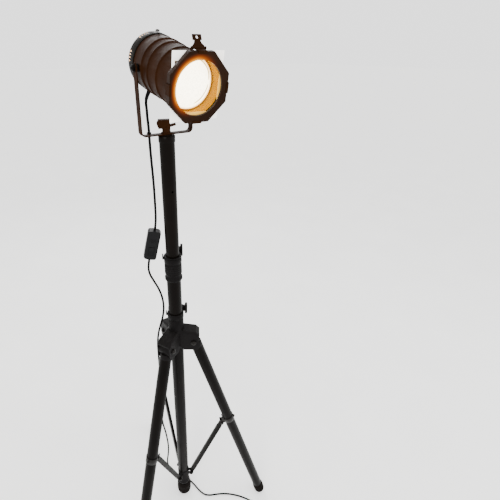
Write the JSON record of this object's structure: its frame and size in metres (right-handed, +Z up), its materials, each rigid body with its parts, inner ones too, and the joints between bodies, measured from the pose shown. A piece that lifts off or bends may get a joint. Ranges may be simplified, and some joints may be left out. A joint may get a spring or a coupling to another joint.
{
  "type": "par can light on tripod stand",
  "caption": "Small cylindrical stage light in a U-shaped yoke on a telescoping tripod stand, with a gel holder, cord, inline switch and plug.",
  "frame": {"origin": "centre of the column foot's flat bottom, on the floor", "axes": "+Z up along the column; the lamp looks along -Y and slightly down; the yoke's tilt axis lies along X; one leg points to +Y"},
  "size_m": [0.5874, 0.619, 1.6531],
  "materials": {
    "black_steel": "blackened steel",
    "card": "uncoated white card",
    "ceramic": "glazed ceramic",
    "cord": "satin black cord jacket",
    "gel": "clear warm filter film",
    "head_paint": "satin black heat-proof paint",
    "lamp_glass": "moulded lamp glass",
    "moulding": "matt black moulded nylon",
    "reflector": "silvered lamp glass",
    "rubber": "matt black rubber",
    "switch_shell": "black moulded shell",
    "tube_paint": "satin black powder coat",
    "zinc": "zinc-plated steel"
  },
  "bodies": {
    "column": {"column_foot": "rubber", "column_tube": "tube_paint", "lower_collar": "moulding", "collar_bolts": "black_steel", "mast_collar": "moulding", "mast_bushing": "moulding", "mast_clamp": "moulding", "mast_clamp_bolt": "black_steel", "lead_floor": "cord", "lead_coil": "cord", "lead_tail": "cord", "plug": "switch_shell"},
    "mast_clamp_knob": {"mast_knob": "moulding"},
    "hub": {"hub_body": "moulding", "hub_clamp": "moulding", "hub_clamp_bolt": "black_steel", "hub_pivot_bolts": "black_steel"},
    "hub_clamp_knob": {"hub_knob": "moulding"},
    "mast": {"mast_tube": "tube_paint", "mast_cap": "moulding", "mast_stud": "zinc", "pan_washer": "rubber", "lead_mast": "cord", "switch_body": "switch_shell"},
    "rocker": {"switch_rocker": "switch_shell"},
    "yoke": {"yoke": "tube_paint", "tilt_washers": "black_steel", "lead_tie": "moulding"},
    "wing_nut": {"yoke_wing_nut": "moulding"},
    "can": {"rear_cap": "head_paint", "barrel": "head_paint", "cap_screws": "zinc", "tilt_bolts": "black_steel", "lamp_body": "reflector", "lamp_lens": "lamp_glass", "lamp_socket": "ceramic", "socket_bracket": "black_steel", "gel_clips": "black_steel", "gel_card": "card", "gel_film": "gel", "gel_frame": "head_paint", "lead_gland": "moulding", "lead_can": "cord"},
    "latch": {"gel_latch": "black_steel"},
    "leg_right": {"leg_right_knuckle": "moulding", "leg_right_tube": "tube_paint", "leg_right_foot": "rubber", "leg_right_bracket": "black_steel"},
    "brace_right": {"brace_right": "black_steel"},
    "leg_left": {"leg_left_knuckle": "moulding", "leg_left_tube": "tube_paint", "leg_left_foot": "rubber", "leg_left_bracket": "black_steel"},
    "brace_left": {"brace_left": "black_steel"},
    "leg_rear": {"leg_rear_knuckle": "moulding", "leg_rear_tube": "tube_paint", "leg_rear_foot": "rubber", "leg_rear_bracket": "black_steel"},
    "brace_rear": {"brace_rear": "black_steel"}
  },
  "joints": [
    {"name": "hub_slide", "type": "slide", "parent": "column", "child": "hub", "axis": [0, 0, 1], "range_m": [0, 0.0305]},
    {"name": "mast_slide", "type": "slide", "parent": "column", "child": "mast", "axis": [0, 0, 1], "range_m": [-0.18, 0.38], "deforming": ["lead_floor"]},
    {"name": "yoke_pan", "type": "hinge", "parent": "mast", "child": "yoke", "pos_m": [0, 0, 1.4596], "axis": [0, 0, 1], "range_deg": [-170, 170], "deforming": ["lead_mast"]},
    {"name": "can_tilt", "type": "hinge", "parent": "yoke", "child": "can", "pos_m": [0, 0, 1.588], "axis": [1, 0, 0], "range_deg": [-101, 34], "deforming": ["lead_can"]},
    {"name": "gel_latch_open", "type": "hinge", "parent": "can", "child": "latch", "pos_m": [0, -0.14338, 1.62074], "axis": [-1, 0, 0], "range_deg": [0, 40]},
    {"name": "mast_knob_turn", "type": "hinge", "parent": "column", "child": "mast_clamp_knob", "pos_m": [0.01362, 0.02673, 1.154], "axis": [0.891, -0.454, 0], "range_deg": [0, 720]},
    {"name": "hub_knob_turn", "type": "hinge", "parent": "hub", "child": "hub_clamp_knob", "pos_m": [0.015, 0.02598, 0.957], "axis": [0.866, -0.5, 0], "range_deg": [0, 720]},
    {"name": "wing_nut_turn", "type": "hinge", "parent": "mast", "child": "wing_nut", "pos_m": [0, 0, 1.476], "axis": [0, 0, 1], "range_deg": [0, 720]},
    {"name": "switch_rock", "type": "hinge", "parent": "mast", "child": "rocker", "pos_m": [-0.04993, 0.02083, 1.17218], "axis": [0.9106, -0.3448, -0.228], "range_deg": [0, 12]},
    {"name": "leg_right_fold", "type": "hinge", "parent": "hub", "child": "leg_right", "pos_m": [0.0446, -0.02575, 0.866], "axis": [0.5, 0.866, 0], "range_deg": [0, 14.4]},
    {"name": "brace_right_fold", "type": "hinge", "parent": "column", "child": "brace_right", "pos_m": [0.02771, -0.016, 0.14], "axis": [-0.5, -0.866, 0], "range_deg": [0, 17.6]},
    {"name": "leg_left_fold", "type": "hinge", "parent": "hub", "child": "leg_left", "pos_m": [-0.0446, -0.02575, 0.866], "axis": [0.5, -0.866, 0], "range_deg": [0, 14.4]},
    {"name": "brace_left_fold", "type": "hinge", "parent": "column", "child": "brace_left", "pos_m": [-0.02771, -0.016, 0.14], "axis": [-0.5, 0.866, 0], "range_deg": [0, 17.6]},
    {"name": "leg_rear_fold", "type": "hinge", "parent": "hub", "child": "leg_rear", "pos_m": [0, 0.0515, 0.866], "axis": [-1, 0, 0], "range_deg": [0, 14.4]},
    {"name": "brace_rear_fold", "type": "hinge", "parent": "column", "child": "brace_rear", "pos_m": [0, 0.032, 0.14], "axis": [1, 0, 0], "range_deg": [0, 17.6]}
  ],
  "couplings": [
    {"joint": "leg_right_fold", "follows": "hub_slide", "rad_per_m": 8.1751},
    {"joint": "brace_right_fold", "follows": "hub_slide", "rad_per_m": 10.007},
    {"joint": "leg_left_fold", "follows": "hub_slide", "rad_per_m": 8.1751},
    {"joint": "brace_left_fold", "follows": "hub_slide", "rad_per_m": 10.007},
    {"joint": "leg_rear_fold", "follows": "hub_slide", "rad_per_m": 8.1751},
    {"joint": "brace_rear_fold", "follows": "hub_slide", "rad_per_m": 10.007}
  ]
}
